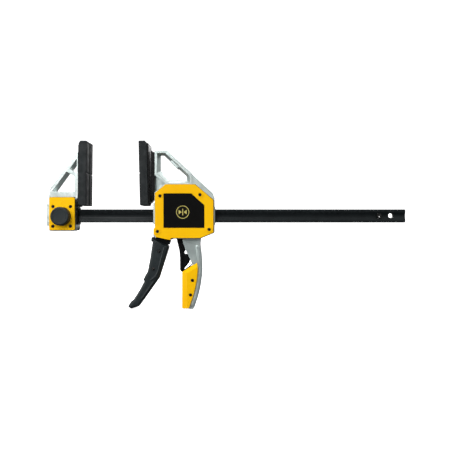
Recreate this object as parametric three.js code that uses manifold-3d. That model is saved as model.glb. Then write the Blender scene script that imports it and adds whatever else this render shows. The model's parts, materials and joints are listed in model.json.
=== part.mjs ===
// One-handed bar clamp with a removable fixed jaw, in millimetres.
// X runs along the bar from the head's end to the free end, +Z is the throat side, Y is across the bar.
// The origin is the middle of the head's end face, on the bar's axis. The jaws stand 74 mm apart.
import * as THREE from "three";
import { mergeVertices } from "three/addons/utils/BufferGeometryUtils.js";
import Module from "manifold-3d";

const wasm = await Module();
wasm.setup();

// ---- Driving dimensions -------------------------------------------------------------------------
const GAP = 0.3; // between pieces that touch on the real clamp
const BAR = { start: 4, end: 517, height: 19, thick: 9.5, web: 6.2 };
const HANG_HOLE = { x: 496.3, z: 0.6, r: 3.7 };
const STOP_PIN = { x: 479, z: 0.2, r: 3.2, wall: 1.2, reach: 7.5 };
const HEAD = { thick: 24, plate: 2.9, face: 43.4, rail: 46.9 };
const BUTTON = { x: 24.8, z: -0.8, r: 13.1, proud: 11.6, stem: 4 };
const PAD = { thick: 11.6, height: 92, width: 38, middle: 60.6, groove: 3.4 };
const HEAD_END = 1.8; // the pieces are drawn with the head's end face here, then moved so that it is at 0
const FIXED_PAD_FACE = 61;
const OPENING = 74.4;
const BODY_X = FIXED_PAD_FACE + OPENING + PAD.thick + 10; // left face of the housing
const HOUSING = { thick: 34, cover: 4.2, panel: 1.2 };
const FRAME_THICK = 28;
const SQUEEZE_PIVOT = { x: BODY_X + 8, z: -16.5, r: 2.5, eye: 5.2 };
const RELEASE_PIVOT = { x: BODY_X + 44.4, z: -17.2, r: 2, eye: 4 };
const SCREW = { head: 2.2, shank: 1.5, sink: 1.9, bore: 2.5 };
const FIXED_TILT = THREE.MathUtils.degToRad(0.6); // the jaws toe in a little at their tips
const MOVING_TILT = THREE.MathUtils.degToRad(-1.3);
const BRAKE_TILT = THREE.MathUtils.degToRad(2);

// ---- Materials ----------------------------------------------------------------------------------
const finish = (color, roughness, metalness) =>
  new THREE.MeshStandardMaterial({ color, roughness, metalness });
const silver = finish(0xb9c1c0, 0.42, 0.85);
const yellow = finish(0xfdc208, 0.45, 0);
const blackSteel = finish(0x1f2426, 0.4, 0.7);
const steel = finish(0x9a9da0, 0.3, 1);
const rubber = finish(0x23292b, 0.75, 0);
const darkPlastic = finish(0x2b3335, 0.6, 0);
const blackPlastic = finish(0x101112, 0.35, 0);

// ---- Solid helpers ------------------------------------------------------------------------------
// A closed three.js geometry as a manifold solid.
function solid(geometry) {
  const bare = geometry.index ? geometry.toNonIndexed() : geometry.clone();
  Object.keys(bare.attributes)
    .filter((name) => name !== "position")
    .forEach((name) => bare.deleteAttribute(name));
  const merged = mergeVertices(bare, 1e-4);
  return new wasm.Manifold(
    new wasm.Mesh({
      numProp: 3,
      vertProperties: merged.attributes.position.array,
      triVerts: new Uint32Array(merged.index.array),
    }),
  );
}

function geometryOf(made) {
  const { numProp, vertProperties, triVerts } = made.getMesh();
  const positions = new Float32Array((vertProperties.length / numProp) * 3);
  for (let i = 0; i < positions.length / 3; i++)
    positions.set(vertProperties.subarray(i * numProp, i * numProp + 3), i * 3);
  const geometry = new THREE.BufferGeometry();
  geometry.setAttribute("position", new THREE.BufferAttribute(positions, 3));
  geometry.setIndex(new THREE.BufferAttribute(triVerts, 1));
  return geometry;
}

const join = (...parts) => parts.reduce((all, part) => all.add(part));
const cut = (whole, ...tools) => tools.reduce((left, tool) => left.subtract(tool), whole);

// A closed shape through [x, z, corner radius] points.
function outline(points) {
  const shape = new THREE.Shape();
  const count = points.length;
  const place = (i) => new THREE.Vector2(points[i % count][0], points[i % count][1]);
  points.forEach(([, , radius = 0], i) => {
    const corner = place(i);
    const back = place(i + count - 1).sub(corner).normalize();
    const ahead = place(i + 1).sub(corner).normalize();
    const reach = radius / Math.tan(Math.acos(back.dot(ahead)) / 2);
    const start = back.multiplyScalar(reach).add(corner);
    if (i) shape.lineTo(start.x, start.y);
    else shape.moveTo(start.x, start.y);
    if (!radius) return;
    const end = ahead.multiplyScalar(reach).add(corner);
    shape.quadraticCurveTo(corner.x, corner.y, end.x, end.y);
  });
  shape.closePath();
  return shape;
}

const rectangle = (x0, x1, z0, z1, r = 0) =>
  outline([[x0, z0, r], [x1, z0, r], [x1, z1, r], [x0, z1, r]]);

// An XZ shape carried from y0 to y1.
function acrossY(shape, y0, y1, curveSegments = 3) {
  const made = new THREE.ExtrudeGeometry(shape, { depth: y1 - y0, bevelEnabled: false, curveSegments });
  return solid(made.rotateX(Math.PI / 2).translate(0, y1, 0));
}

// A YZ shape carried from x0 to x1.
function alongX(shape, x0, x1) {
  const made = new THREE.ExtrudeGeometry(shape, { depth: x1 - x0, bevelEnabled: false, curveSegments: 3 });
  made.applyMatrix4(new THREE.Matrix4().set(0, 0, 1, 0, 1, 0, 0, 0, 0, 1, 0, 0, 0, 0, 0, 1));
  return solid(made.translate(x0, 0, 0));
}

function box(x0, x1, y0, y1, z0, z1) {
  const made = new THREE.BoxGeometry(x1 - x0, y1 - y0, z1 - z0);
  return solid(made.translate((x0 + x1) / 2, (y0 + y1) / 2, (z0 + z1) / 2));
}

function rod(x, z, r, y0, y1, sides = 20) {
  const made = new THREE.CylinderGeometry(r, r, y1 - y0, sides);
  return solid(made.translate(x, (y0 + y1) / 2, z));
}

// A solid between two outlines with the same number of points, one at y0 and the other at y1 > y0.
function taper(first, y0, second, y1) {
  const count = first.length;
  const flat = first.map(([x, z]) => new THREE.Vector2(x, z));
  const turned = THREE.ShapeUtils.isClockWise(flat);
  const wound = (list) => (turned ? [...list].reverse() : list);
  const at = (list, y) => wound(list).flatMap(([x, z]) => [x, y, z]);
  const caps = THREE.ShapeUtils.triangulateShape(wound(flat), []);
  const index = [];
  caps.forEach(([a, b, c]) => index.push(a, b, c, count + c, count + b, count + a));
  for (let i = 0; i < count; i++) {
    const next = (i + 1) % count;
    index.push(i, count + i, next, next, count + i, count + next);
  }
  const made = new THREE.BufferGeometry();
  made.setAttribute("position", new THREE.Float32BufferAttribute([...at(first, y0), ...at(second, y1)], 3));
  made.setIndex(index);
  return solid(made);
}

// A round wire wound as a helix from start, of the given pitch and turns, along a unit axis "x" or "y".
function coil(start, axis, radius, wire, pitch, turns) {
  const steps = Math.round(turns * 12);
  const points = [];
  for (let i = 0; i <= steps; i++) {
    const turn = (i / 12) * Math.PI * 2;
    const [u, v, w] = [radius * Math.cos(turn), radius * Math.sin(turn), (pitch * i) / 12];
    points.push(new THREE.Vector3(...(axis === "x" ? [w, u, v] : [u, w, v])).add(start));
  }
  const section = new THREE.Shape();
  section.absarc(0, 0, wire, 0, Math.PI * 2);
  const extrudePath = new THREE.CatmullRomCurve3(points);
  return solid(new THREE.ExtrudeGeometry(section, { steps, curveSegments: 3, bevelEnabled: false, extrudePath }));
}

// Outline points given from the housing's left face.
const onBody = (points) => points.map(([dx, ...rest]) => [BODY_X + dx, ...rest]);

const clamp = new THREE.Group();
clamp.name = "bar_clamp";

// Adds a piece, turned by tilt about its pivot point where one is given.
function add(name, material, made, tilt = 0, pivot = new THREE.Vector3()) {
  const geometry = geometryOf(made).translate(-pivot.x, -pivot.y, -pivot.z);
  const mesh = new THREE.Mesh(geometry, material);
  mesh.name = name;
  mesh.position.copy(pivot);
  mesh.position.x -= HEAD_END;
  mesh.rotation.y = tilt;
  clamp.add(mesh);
  return mesh;
}

// A countersunk-hole tool and the screw that sits in it. side is -1 for the front and 1 for the back.
function screwHole(x, z, face, depth, side) {
  const span = (a, b) => [Math.min(side * a, side * b), Math.max(side * a, side * b)];
  return join(
    rod(x, z, SCREW.bore, ...span(face - SCREW.sink, face + 2), 16),
    rod(x, z, SCREW.shank + GAP, ...span(face - depth, face), 12),
  );
}

function screw(x, z, face, length, side) {
  const top = face - SCREW.sink + GAP;
  const profile = [[0, 0], [SCREW.shank, 0], [SCREW.shank, length], [SCREW.head, length], [SCREW.head, length + 1.1]];
  const points = [...profile, [0, length + 1.1]].map(([r, y]) => new THREE.Vector2(r, y));
  const made = new THREE.LatheGeometry(points, 12);
  if (side < 0) made.rotateX(Math.PI);
  return solid(made.translate(x, side * (top - length), z));
}

// ---- Bar ----------------------------------------------------------------------------------------
const halfBar = BAR.thick / 2;
const halfHeight = BAR.height / 2;
const halfWeb = BAR.web / 2;

function barSection() {
  const half = [
    [halfBar - 0.5, halfHeight], [halfBar, halfHeight - 0.5], [halfBar, 5.4], [halfWeb + 0.45, 3.2], [halfWeb, 1],
  ];
  const right = [...half, ...half.map(([y, z]) => [y, -z]).reverse()];
  return outline([...right, ...right.map(([y, z]) => [-y, -z])]);
}

const lockHole = rod(BUTTON.x, BUTTON.z, BUTTON.stem + GAP, -halfBar - 1, halfBar + 1, 16);
const barEnds = acrossY(rectangle(BAR.start, BAR.end, -halfHeight - 0.01, halfHeight + 0.01, 1.4), -halfBar, halfBar);
add(
  "bar",
  blackSteel,
  cut(
    alongX(barSection(), BAR.start, BAR.end).intersect(barEnds),
    rod(HANG_HOLE.x, HANG_HOLE.z, HANG_HOLE.r, -6, 6, 24),
    rod(STOP_PIN.x, STOP_PIN.z, STOP_PIN.r + GAP, -6, 6, 20),
    lockHole,
  ),
);

// A spring pin: a tube with a slot down its side.
add(
  "stop_pin",
  steel,
  cut(
    rod(STOP_PIN.x, STOP_PIN.z, STOP_PIN.r, -STOP_PIN.reach, STOP_PIN.reach, 20),
    rod(STOP_PIN.x, STOP_PIN.z, STOP_PIN.r - STOP_PIN.wall, -9, 9, 16),
    box(STOP_PIN.x, STOP_PIN.x + 5, -9, 9, STOP_PIN.z - 1.9, STOP_PIN.z - 1),
  ),
);

// ---- Fixed jaw head -----------------------------------------------------------------------------
const headHalf = HEAD.thick / 2;
const headPlateFace = headHalf + GAP + HEAD.plate;
const headScrews = [[12.3, 13.2], [37.2, 13.2], [12.3, -14.8], [37.2, -14.8]];

function headCasting() {
  const profile = outline([
    [6, -21.6, 1.5], [39.6, -21.6, 1], [HEAD.face, -16, 1], [HEAD.face, 23, 1], [HEAD.rail, 26], [HEAD.rail, 91],
    [6, 37, 3],
  ]);
  const bigWindow = outline([[9.6, 34.4, 0.8], [30.7, 63.4, 0.8], [42.9, 56.2, 0.8], [42.9, 34.4, 0.8]]);
  const smallWindow = outline([[35.2, 67.6, 0.6], [45.5, 60.6, 0.6], [45.5, 82, 0.6]]);
  const socket = box(BAR.start - GAP, 60, -halfBar - GAP, halfBar + GAP, -halfHeight - GAP, halfHeight + GAP);
  const bushSeat = box(HEAD.face - 3, 60, -halfBar - 2.2, halfBar + 2.2, -halfHeight - 2.2, halfHeight + 2.2);
  const lug = acrossY(outline([[17, 33], [33, 33], [33, 36.6, 1], [31.6, 38.4, 0.6], [18.4, 38.4, 0.6]]), 1, headHalf);
  const endBoss = box(HEAD_END, 8, -8.5, 8.5, -14.5, 17);
  const buttonWell = rod(BUTTON.x, BUTTON.z, BUTTON.r + GAP, -headHalf - 1, -headHalf + 5, 32);
  const stemBore = rod(BUTTON.x, BUTTON.z, BUTTON.stem + GAP, -headHalf - 1, headHalf - 2, 16);
  const bores = headScrews.map(([x, z]) => rod(x, z, SCREW.shank + GAP, -headHalf - 1, headHalf + 1, 12));
  const body = join(acrossY(profile, -headHalf, headHalf), lug, endBoss);
  const windows = [bigWindow, smallWindow].map((w) => acrossY(w, -headHalf - 1, headHalf + 1));
  return cut(body, ...windows, socket, bushSeat, buttonWell, stemBore, ...bores);
}

function headPlate(side) {
  const edge = rectangle(6.9, 43.2, -20.2, 26.4, 2.4);
  const [y0, y1] = side < 0 ? [-headPlateFace, -headHalf - GAP] : [headHalf + GAP, headPlateFace];
  const plate = acrossY(edge, y0, y1, 4);
  if (side < 0) {
    const eye = rod(BUTTON.x, BUTTON.z, BUTTON.r + GAP, y0 - 1, y1 + 1, 40);
    return cut(plate, eye, ...headScrews.map(([x, z]) => screwHole(x, z, headPlateFace, 6, side)));
  }
  const blind = headScrews.map(([x, z]) => rod(x, z, SCREW.shank + GAP, y0 - 1, y1 - 1, 12));
  return cut(plate, ...blind);
}

add("head_casting", silver, headCasting());
add("head_cover_front", yellow, headPlate(-1));
add("head_cover_back", yellow, headPlate(1));
headScrews.forEach(([x, z], i) => {
  add(`head_screw_${i + 1}`, blackSteel, screw(x, z, headPlateFace, 26, -1));
});

// The bush that guides the bar into the head.
const bushRing = (reach) => rectangle(-halfBar - reach, halfBar + reach, -halfHeight - reach, halfHeight + reach, 0.6);
add(
  "head_bar_bush",
  blackPlastic,
  cut(
    join(
      alongX(bushRing(1.9), HEAD.face - 3 + GAP, HEAD.face + 1),
      alongX(bushRing(2.9), HEAD.face + GAP, HEAD.face + 3),
    ),
    box(30, 60, -halfBar - GAP, halfBar + GAP, -halfHeight - GAP, halfHeight + GAP),
  ),
);

// ---- Lock button --------------------------------------------------------------------------------
const buttonFace = headPlateFace + BUTTON.proud;
const wellFloor = headHalf - 5;

function lathed(points, x, z, sides = 40) {
  const made = new THREE.LatheGeometry(points.map(([r, y]) => new THREE.Vector2(r, y)), sides);
  return solid(made.translate(x, 0, z));
}

add(
  "lock_button",
  blackPlastic,
  lathed(
    [
      [0, -buttonFace + 0.5], [9.6, -buttonFace + 0.5], [10.2, -buttonFace], [BUTTON.r - 1.2, -buttonFace],
      [BUTTON.r, -buttonFace + 1.2], [BUTTON.r, -headHalf - 2.4], [BUTTON.r - 2, -headHalf - 2.4],
      [BUTTON.r - 2, -buttonFace + 3], [0, -buttonFace + 3],
    ],
    BUTTON.x,
    BUTTON.z,
  ),
);
add(
  "lock_plunger",
  steel,
  lathed(
    [[0, -buttonFace + 3 + GAP], [6.5, -buttonFace + 3 + GAP], [6.5, -buttonFace + 5], [BUTTON.stem, -buttonFace + 5],
      [BUTTON.stem, 3.5], [BUTTON.stem - 0.8, 4.3], [0, 4.3]],
    BUTTON.x,
    BUTTON.z,
    20,
  ),
);
add(
  "lock_spring",
  steel,
  coil(new THREE.Vector3(BUTTON.x, -buttonFace + 6.2, BUTTON.z), "y", 6, 0.5, 3, (buttonFace - 6.2 - wellFloor - 1) / 3),
);

// ---- Jaw pads -----------------------------------------------------------------------------------
// A pad whose gripping face looks along side (1 or -1), with crossed V grooves.
function pad(face, side) {
  const back = face - side * PAD.thick;
  const [z0, z1] = [PAD.middle - PAD.height / 2, PAD.middle + PAD.height / 2];
  const half = PAD.width / 2;
  const edge = outline([
    [face, z0, 1.6], [back + side * 1.4, z0, 0.8], [back, z0 + 2.4, 0.6], [back, z1 - 3.6, 0.6],
    [back + side * 2.6, z1, 0.8], [face, z1, 1.6],
  ]);
  const block = acrossY(edge, -half, half);
  const dip = (x) => face + side * x;
  const level = outline([[dip(1), PAD.middle - 1.9], [dip(1), PAD.middle + 1.9], [dip(-1.1), PAD.middle]]);
  const upright = new THREE.Shape([
    new THREE.Vector2(dip(0.5), -PAD.groove - 0.5),
    new THREE.Vector2(dip(0.5), PAD.groove + 0.5),
    new THREE.Vector2(dip(-2), 0.6),
    new THREE.Vector2(dip(-2), -0.6),
  ]);
  const tall = new THREE.ExtrudeGeometry(upright, { depth: PAD.height + 4, bevelEnabled: false });
  return cut(block, acrossY(level, -half - 1, half + 1), solid(tall.translate(0, 0, z0 - 2)));
}

const movingPadFace = FIXED_PAD_FACE + OPENING;
const fixedTurn = new THREE.Vector3(FIXED_PAD_FACE, 0, PAD.middle);
const movingTurn = new THREE.Vector3(movingPadFace, 0, PAD.middle);
const fixedBack = FIXED_PAD_FACE - PAD.thick - GAP;
const movingBack = movingPadFace + PAD.thick + GAP;

add("fixed_pad", rubber, pad(FIXED_PAD_FACE, 1), FIXED_TILT, fixedTurn);
add(
  "fixed_pad_shoe",
  blackPlastic,
  join(
    acrossY(rectangle(fixedBack - 1.5, fixedBack, 20, 101, 0.5), -14, 14),
    acrossY(outline([[HEAD.face + 1, 12.6, 1], [fixedBack, 13.5, 1], [fixedBack, 21], [HEAD.face + 2, 21, 1]]), -9, 9),
  ),
  FIXED_TILT,
  fixedTurn,
);
add("moving_pad", rubber, pad(movingPadFace, -1), MOVING_TILT, movingTurn);
add(
  "moving_pad_plate",
  blackPlastic,
  acrossY(rectangle(movingBack, movingBack + 2.2, 18.5, 103, 0.8), -17, 17),
  MOVING_TILT,
  movingTurn,
);
add(
  "moving_pad_shoe",
  blackPlastic,
  join(
    acrossY(rectangle(BODY_X - 5.2, BODY_X - GAP, 22.6, 91, 0.8), -13, 13),
    acrossY(rectangle(BODY_X - 6.1, BODY_X - 4, 20.5, 93.5, 0.7), -8, 8),
  ),
);

// ---- Moving jaw casting -------------------------------------------------------------------------
const half = HOUSING.thick / 2;
const frameHalf = FRAME_THICK / 2;
const coverFace = half + GAP + HOUSING.cover;
const bodyScrews = onBody([[8.3, 27.9], [64.8, 29.6], [77.8, -19.4], [4.7, -22.2]]);
const gripScrews = onBody([[53.7, -92], [51, -112.7]]);
const panelHalf = 14.6; // half the width of the yellow grip

function housing() {
  const shell = outline(onBody([
    [-1.5, -29.6, 1], [-1.5, -19], [0.2, -16.5], [0.2, 33, 2], [15.4, 45.6, 2], [58.4, 45.6], [84.8, 22.8, 2],
    [84.8, -24.4, 2], [65, -32.5], [26.6, -32.5], [12.2, -31.8],
  ]));
  const cavity = outline(onBody([
    [4.2, -10.6], [12.6, -10.6], [12.6, -40], [26.5, -40], [26.5, -19], [43.5, -19], [43.5, -28.4], [64, -28.4],
    [80.6, -21.8], [80.6, 20.4], [56.8, 40.6], [17.2, 40.6], [4.2, 29.6],
  ]));
  const bosses = bodyScrews.slice(0, 3).map(([x, z]) => rod(x, z, 4.2, -half, half, 16));
  const collars = join(
    box(BODY_X - 2.6, BODY_X + 1, -9.5, 9.5, -10.4, 18.5),
    box(BODY_X + 84, BODY_X + 85.8, -9.5, 9.5, -13, 13),
  );
  const ring = cut(acrossY(shell, -half, half), acrossY(cavity, -half - 1, half + 1));
  const barRoom = box(BODY_X, BODY_X + 80, -halfBar - 0.8, halfBar + 0.8, -halfHeight - 0.8, halfHeight + 0.8);
  // Two walls stop the springs; the ledge is what the brake plates lean on.
  const walls = join(
    box(BODY_X + 30, BODY_X + 32, -half + 2, half - 2, -19.5, 41),
    box(BODY_X + 31, BODY_X + 33.7, -10, 10, 16.5, 41),
    box(BODY_X + 54.6, BODY_X + 56.6, -half + 2, half - 2, -29, 41),
  );
  return join(ring, collars, cut(walls, barRoom), ...bosses);
}

// The triangular frame that carries the pad, and the sloping shoulder behind it.
function jawFrame() {
  const frame = outline(onBody([
    [0, 58.2], [0, 93.2, 1], [17.4, 93.2, 1], [52.6, 61, 1], [53.2, 45.2], [14.8, 45.2],
  ]));
  const shoulder = outline(onBody([[50, 58.6], [54.2, 58.6], [82.4, 32.6, 2], [84.8, 27, 2], [84.8, 20], [50, 45]]));
  const nearWindow = onBody([
    [3.2, 89.6], [15.3, 89.6], [48.6, 58.6], [50.4, 55], [50.4, 46.8], [18, 46.8], [16, 49.7], [3.2, 61.1],
  ]);
  const midWindow = onBody([
    [7.3, 87.2], [12.1, 87.2], [43, 58.8], [45, 56.5], [45, 52.2], [18.9, 52.2], [18.6, 55.1], [7.3, 65.2],
  ]);
  const block = outline(onBody([[21.2, 77.6], [31.6, 67.8], [36.2, 72], [25.6, 82]]));
  const web = outline(onBody([[0, 32], [16, 46], [0, 59.5]]));
  const opened = cut(
    acrossY(frame, -frameHalf, frameHalf),
    taper(nearWindow, -frameHalf - 0.2, midWindow, 0),
    taper(midWindow, -0.01, nearWindow, frameHalf + 0.2),
  );
  return join(opened, acrossY(shoulder, -frameHalf + 2, frameHalf - 2), acrossY(block, -9, 9), acrossY(web, -5, 5));
}

// The outlines of the handle cast in one with the housing: its whole flat web, and the thicker spine down its back.
function handleOutlines() {
  const spine = onBody([
    [65.5, -31], [64.3, -41.7], [66.4, -58.9], [67.2, -77.5], [65, -99], [60.7, -117.6], [56.6, -129.8],
  ]).map(([x, z]) => new THREE.Vector2(x, z));
  const inner = onBody([
    [49.6, -130.4], [53.1, -119.8], [57.4, -105.6], [60.7, -88.5], [61.7, -74.3], [59.3, -60.3], [57.8, -40.3],
    [59.4, -31],
  ]).map(([x, z]) => new THREE.Vector2(x, z));
  const back = new THREE.SplineCurve(spine).getPoints(14);
  const front = new THREE.SplineCurve(inner).getPoints(14);
  const heel = [new THREE.Vector2(BODY_X + 54.4, -132.8), new THREE.Vector2(BODY_X + 49.4, -132.8)];
  const rim = new THREE.Shape([...back, ...heel, ...front]);
  const toe = onBody([
    [42.6, -132.4], [42.6, -80], [53.6, -71.1], [50, -61.7], [43.5, -48.1], [39.9, -38.8], [39.2, -31],
  ]).map(([x, z]) => new THREE.Vector2(x, z));
  const web = new THREE.Shape([...back, ...heel.slice(0, 1), ...toe]);
  return { rim, web };
}

function handleCore() {
  const { rim, web } = handleOutlines();
  return join(acrossY(web, -9, 9), acrossY(rim, -12.6, 12.6));
}

function bodyCasting() {
  const squeezeSlot = outline(onBody([
    [1.6, -10.4], [1.6, -23], [-4, -27], [-4, -45], [29.6, -45], [29.6, -25.5], [27, -24], [27, -10.4],
  ]));
  const releaseSlot = outline(onBody([
    [29.2, -18], [44, -18], [48, -30], [56, -48], [62, -60], [62, -71], [54, -82.6], [34, -82.6], [26, -45],
    [29.2, -29],
  ]));
  const barWay = (reach) => [-halfBar - reach, halfBar + reach, -halfHeight - reach, halfHeight + reach];
  return cut(
    join(housing(), jawFrame(), handleCore()),
    acrossY(squeezeSlot, -6.6, 6.6),
    acrossY(releaseSlot, -7.2, 7.2),
    box(BODY_X - 6, BODY_X + 5, ...barWay(2.2)),
    box(BODY_X + 80, BODY_X + 90, ...barWay(2.2)),
    rod(SQUEEZE_PIVOT.x, SQUEEZE_PIVOT.z, SQUEEZE_PIVOT.r + GAP, -half - 1, half + 1, 16),
    rod(RELEASE_PIVOT.x, RELEASE_PIVOT.z, RELEASE_PIVOT.r + GAP, -half - 1, half + 1, 16),
    ...bodyScrews.flatMap(([x, z]) => [
      rod(x, z, SCREW.shank + GAP, -half - 1, -half + 9.4, 12),
      rod(x, z, SCREW.shank + GAP, half - 9.4, half + 1, 12),
    ]),
    ...gripScrews.map(([x, z]) => rod(x, z, SCREW.shank + GAP, -14, 14, 12)),
  );
}

add("body_casting", silver, bodyCasting());

// ---- Body covers --------------------------------------------------------------------------------
const coverOutline = onBody([
  [1.2, 32.2, 1], [16, 44.4, 1], [57.7, 44.4, 1], [83.6, 22.3, 1.5], [83.6, -23.6, 1.5], [64.8, -31.4, 1],
  [24.2, -31.4, 0.8], [22, -34.2, 0.8], [2.2, -29.8, 1], [-0.7, -25.4, 2], [-0.7, -19.4, 2], [1.2, -16.4, 1],
]);
const panelOutline = [[13.2, 31.7, 0.8], [52.8, 31.7, 0.8], [71.1, 15.2, 0.8], [71.1, -17.3, 0.8], [13.2, -17.3, 0.8]];

function bodyCover(side) {
  const [y0, y1] = side < 0 ? [-coverFace, -half - GAP] : [half + GAP, coverFace];
  const [p0, p1] = side < 0 ? [y0 - 1, y0 + HOUSING.panel] : [y1 - HOUSING.panel, y1 + 1];
  const rise = side < 0 ? [y0 - 0.5, y0 + 1] : [y1 - 1, y1 + 0.5];
  const rings = bodyScrews.map(([x, z]) => rod(x, z, 4.3, ...rise, 24));
  return cut(
    join(acrossY(outline(coverOutline), y0, y1), ...rings),
    acrossY(outline(onBody(panelOutline)), p0, p1),
    ...bodyScrews.map(([x, z]) => screwHole(x, z, coverFace, 6, side)),
  );
}

// The dark plate that drops into the cover's pocket, GAP smaller all round.
function badgePanel(side) {
  const middle = new THREE.Vector2(42, 7);
  const smaller = panelOutline.map(([dx, z, r]) => [dx - Math.sign(dx - middle.x) * GAP, z - Math.sign(z - middle.y) * GAP, r]);
  const floor = coverFace - HOUSING.panel + GAP;
  const [y0, y1] = side < 0 ? [-coverFace + 0.1, -floor] : [floor, coverFace - 0.1];
  return acrossY(outline(onBody(smaller)), y0, y1);
}

[[-1, "front"], [1, "back"]].forEach(([side, label]) => {
  add(`body_cover_${label}`, yellow, bodyCover(side));
  add(`badge_panel_${label}`, blackPlastic, badgePanel(side));
  bodyScrews.forEach(([x, z], i) => {
    add(`body_screw_${label}_${i + 1}`, blackSteel, screw(x, z, coverFace, 11, side));
  });
});

// ---- Grip panels --------------------------------------------------------------------------------
function gripPanel(side) {
  const edge = outline(onBody([
    [38.6, -80.2, 1], [53.8, -70.7], [61, -66.8, 0.6], [61.4, -74.3], [60.4, -88.5], [57.1, -105.6], [52.8, -119.8],
    [49.3, -130.2], [48.8, -131.6, 0.6], [38.6, -132.6, 1],
  ]));
  const [y0, y1] = side < 0 ? [-panelHalf, -GAP / 2] : [GAP / 2, panelHalf];
  const coreRoom = outline(onBody([
    [42.3, -134], [42.3, -79], [44, -76], [63, -62], [64, -75], [62.4, -90], [58.4, -108], [50, -134],
  ]));
  const triggerRoom = box(BODY_X + 30, BODY_X + 60, -7.5, 7.5, -82.4, -60);
  const [c0, c1] = side < 0 ? [-9 - GAP, 1] : [-1, 9 + GAP];
  const rimRoom = acrossY(handleOutlines().rim, -20, 20).translate([-GAP - 0.1, 0, 0]);
  const screws = gripScrews.map(([x, z]) =>
    side < 0 ? screwHole(x, z, panelHalf, 8, side) : rod(x, z, SCREW.shank + GAP, 0, panelHalf - 1.6, 12),
  );
  return cut(acrossY(edge, y0, y1), acrossY(coreRoom, c0, c1), triggerRoom, rimRoom, ...screws);
}

add("grip_panel_front", yellow, gripPanel(-1));
add("grip_panel_back", yellow, gripPanel(1));
gripScrews.forEach(([x, z], i) => {
  add(`grip_screw_${i + 1}`, blackSteel, screw(x, z, panelHalf, 24, -1));
});

// ---- Bar guides ---------------------------------------------------------------------------------
[["left", -2.9, 4.5], ["right", 80.3, 86.1]].forEach(([label, x0, x1]) => {
  const sleeve = alongX(bushRing(1.9), BODY_X + x0, BODY_X + x1);
  const way = box(BODY_X - 9, BODY_X + 99, -halfBar - GAP, halfBar + GAP, -halfHeight - GAP, halfHeight + GAP);
  add(`bar_guide_${label}`, blackPlastic, cut(sleeve, way));
});

// ---- Squeeze handle -----------------------------------------------------------------------------
const leverHalf = 6;
const gripHalf = 12;
const rivets = onBody([[5.8, -50.6], [-2.5, -75.9]]);
const leverPoints = [
  [13.2, -18], [13.6, -25], [12.9, -29.8], [21.8, -35.2, 0.8], [19.9, -41.2, 0.8], [16.6, -41.4], [16.4, -46],
  [12.5, -56], [4.5, -84], [-5, -97],
  [-12.5, -97], [-8, -80], [-3.4, -60], [0, -40], [-0.6, -33], [2.9, -24], [2.9, -17],
];

function squeezeLever() {
  const { x, z, r, eye } = SQUEEZE_PIVOT;
  return cut(
    join(acrossY(outline(onBody(leverPoints)), -leverHalf, leverHalf), rod(x, z, eye, -leverHalf, leverHalf, 24)),
    rod(x, z, r + GAP, -9, 9, 16),
    ...rivets.map(([rx, rz]) => rod(rx, rz, 1.5 + GAP, -9, 9, 12)),
  );
}

function squeezeGrip(side) {
  const edge = outline(onBody([
    [-5.3, -30.6, 0.8], [-2.9, -30.2], [0.2, -33, 1], [18.6, -42.8, 1], [19.2, -45], [8.2, -80.2, 6], [5.1, -89.5, 8],
    [-15.6, -118.8], [-23.4, -129.6, 1.4], [-34.8, -133.2, 1], [-39.1, -129.8, 0.8], [-34.9, -123.1],
    [-32.8, -121.3, 1], [-30.6, -119.5], [-22, -105.9], [-15.6, -93.8], [-17, -91.6, 1], [-13.9, -84.5], [-11, -80.2],
    [-7, -60.2, 8], [-3.6, -37.6, 1], [-5.9, -35.6, 1],
  ]));
  const [y0, y1] = side < 0 ? [-gripHalf, -GAP / 2] : [GAP / 2, gripHalf];
  const roomFor = [
    [17, -28], [16.9, -46.1], [12.9, -56.1], [4.9, -84.2], [-4.8, -97.4], [-13, -97.4],
    [-8.4, -80], [-3.8, -60], [-0.4, -40], [-1, -33], [-1.5, -28],
  ];
  const [c0, c1] = side < 0 ? [-leverHalf - GAP, 1] : [-1, leverHalf + GAP];
  const bores = rivets.map(([x, z]) => rod(x, z, 1.5 + GAP, -gripHalf - 1, gripHalf + 1, 12));
  const rests = rivets.map(([x, z]) => rod(x, z, 2.6, side * gripHalf - 1.2, side * gripHalf + 1.2, 16));
  return cut(acrossY(edge, y0, y1), acrossY(outline(onBody(roomFor)), c0, c1), ...bores, ...rests);
}

add("squeeze_lever", blackSteel, squeezeLever());
add("squeeze_grip_front", darkPlastic, squeezeGrip(-1));
add("squeeze_grip_back", darkPlastic, squeezeGrip(1));
rivets.forEach(([x, z], i) => {
  const flange = (y0, y1) => rod(x, z, 2.3, y0, y1, 14);
  const made = join(rod(x, z, 1.5, -11.8, 11.8, 12), flange(-11.8, -11.1), flange(11.1, 11.8));
  add(`squeeze_rivet_${i + 1}`, steel, made);
});
add(
  "squeeze_pivot_pin",
  steel,
  rod(SQUEEZE_PIVOT.x, SQUEEZE_PIVOT.z, SQUEEZE_PIVOT.r, -half + 0.4, half - 0.4, 16),
);

// ---- Release trigger ----------------------------------------------------------------------------
const triggerHalf = 6.6;

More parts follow.
